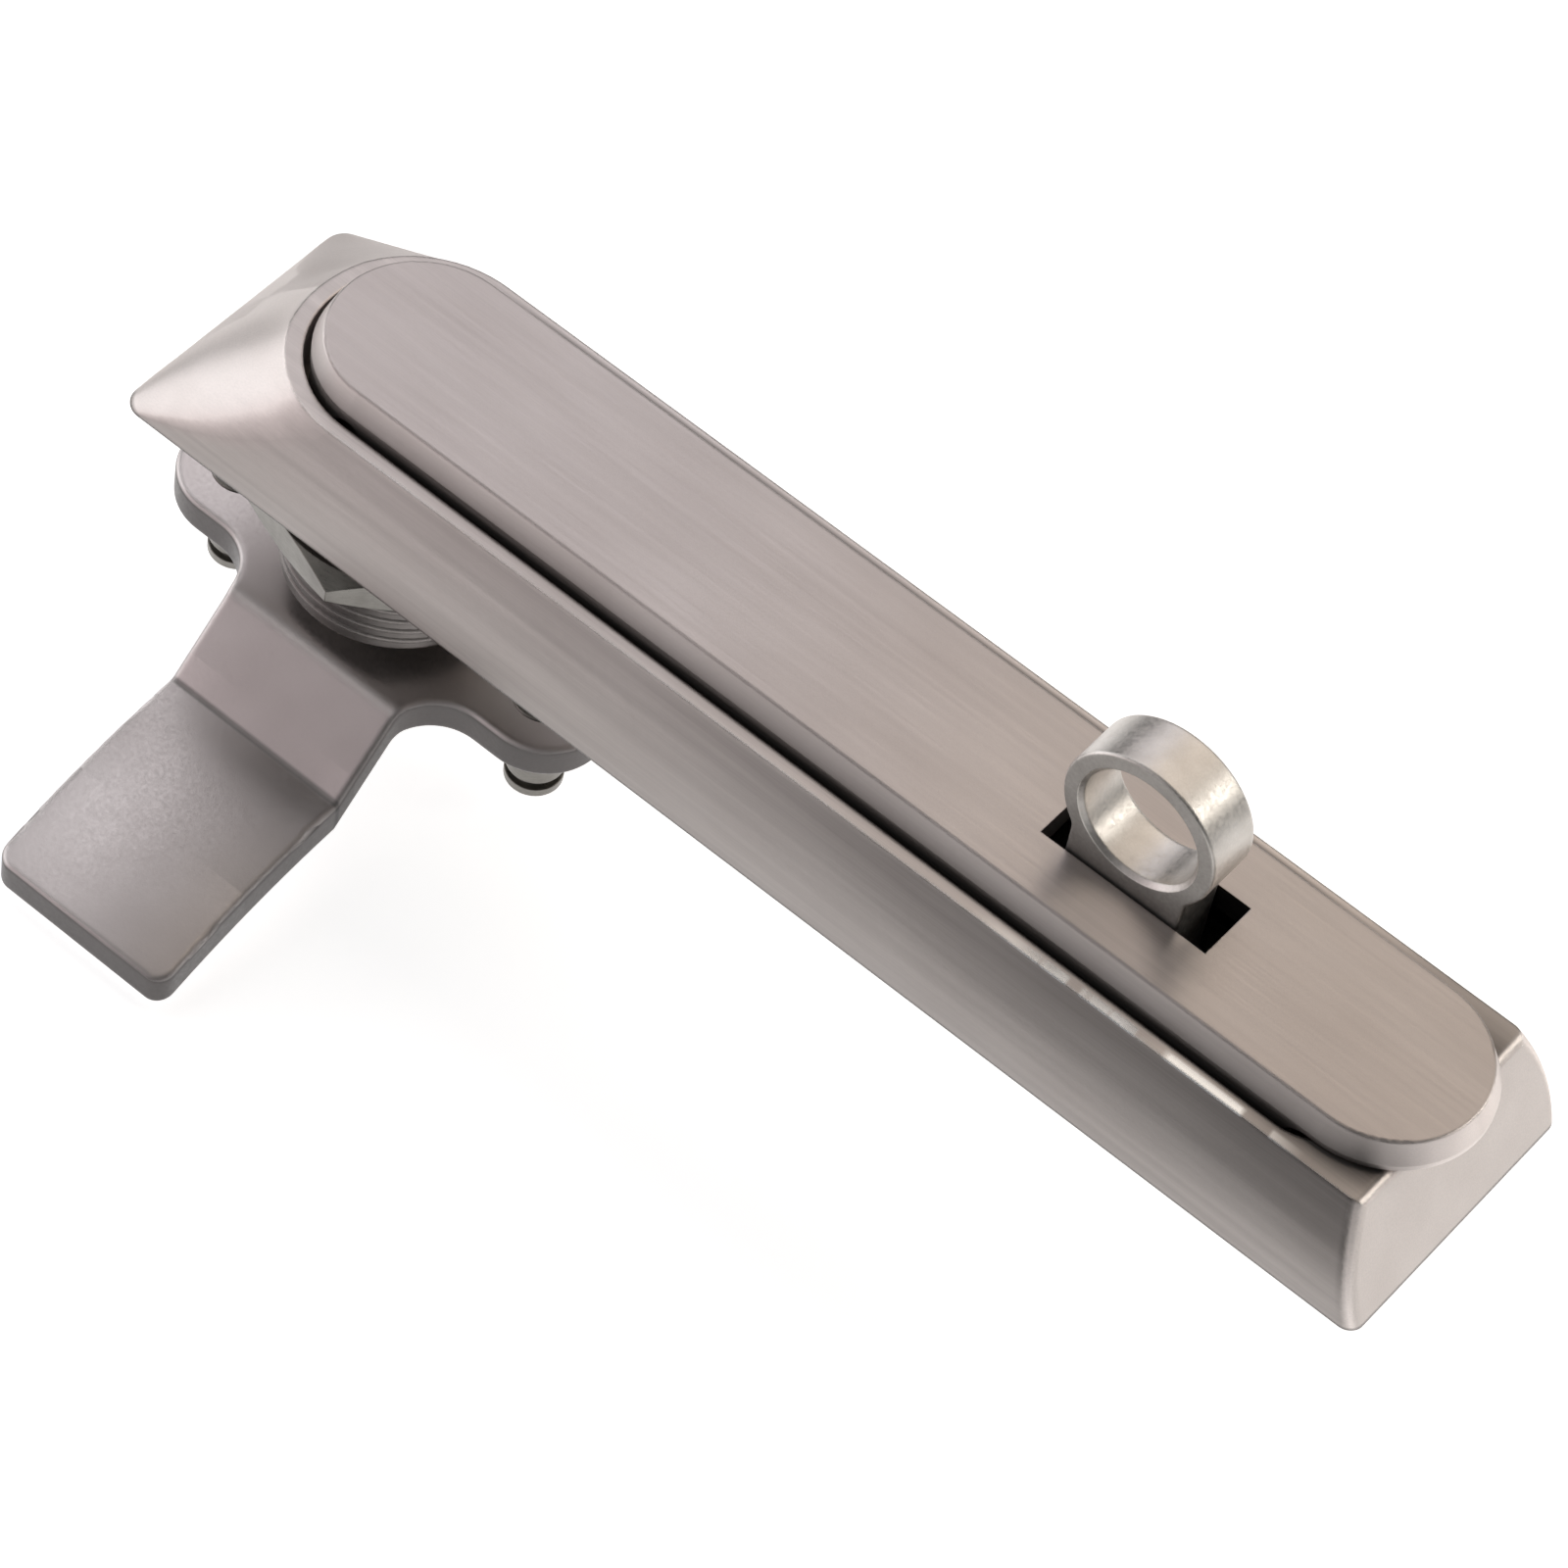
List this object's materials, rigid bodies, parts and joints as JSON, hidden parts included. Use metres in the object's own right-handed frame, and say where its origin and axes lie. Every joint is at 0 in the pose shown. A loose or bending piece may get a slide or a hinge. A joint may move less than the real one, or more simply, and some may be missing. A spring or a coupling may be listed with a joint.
{
  "type": "swing-handle cabinet latch with padlock eye",
  "caption": "Stainless swing-handle latch: dished base, lift-up handle over a fixed padlock eye, threaded neck with nut, and a joggled cam with pins for locking rods.",
  "frame": {"origin": "on the spindle axis, at the base's seat on the door", "axes": "+Z out of the door along the spindle, +X along the handle to its free end, -Y along the cam's tongue"},
  "size_m": [0.1588, 0.063, 0.0744],
  "materials": {
    "base_steel": "satin, brushed lengthwise",
    "handle_steel": "satin, brushed lengthwise",
    "eye_steel": "cast and tumbled",
    "cam_steel": "satin, bead blasted",
    "fastener_steel": "machined",
    "seal_rubber": "matt"
  },
  "bodies": {
    "base_assembly": {"base": "base_steel", "padlock_eye": "eye_steel", "eye_screws": "fastener_steel", "spindle": "fastener_steel", "spindle_o_ring": "seal_rubber", "pivot_pin": "fastener_steel", "mounting_nut": "fastener_steel", "cam": "cam_steel", "rod_pin_hinge_side": "fastener_steel", "rod_pin_free_side": "fastener_steel", "cam_flat_washer": "fastener_steel", "cam_spring_washer": "fastener_steel", "cam_screw": "fastener_steel"},
    "lift_handle": {"handle": "handle_steel"}
  },
  "joints": [
    {"name": "handle_lift", "type": "hinge", "parent": "base_assembly", "child": "lift_handle", "pos_m": [0, 0, 0.0112], "axis": [0, -1, 0], "range_deg": [0, 45]}
  ]
}
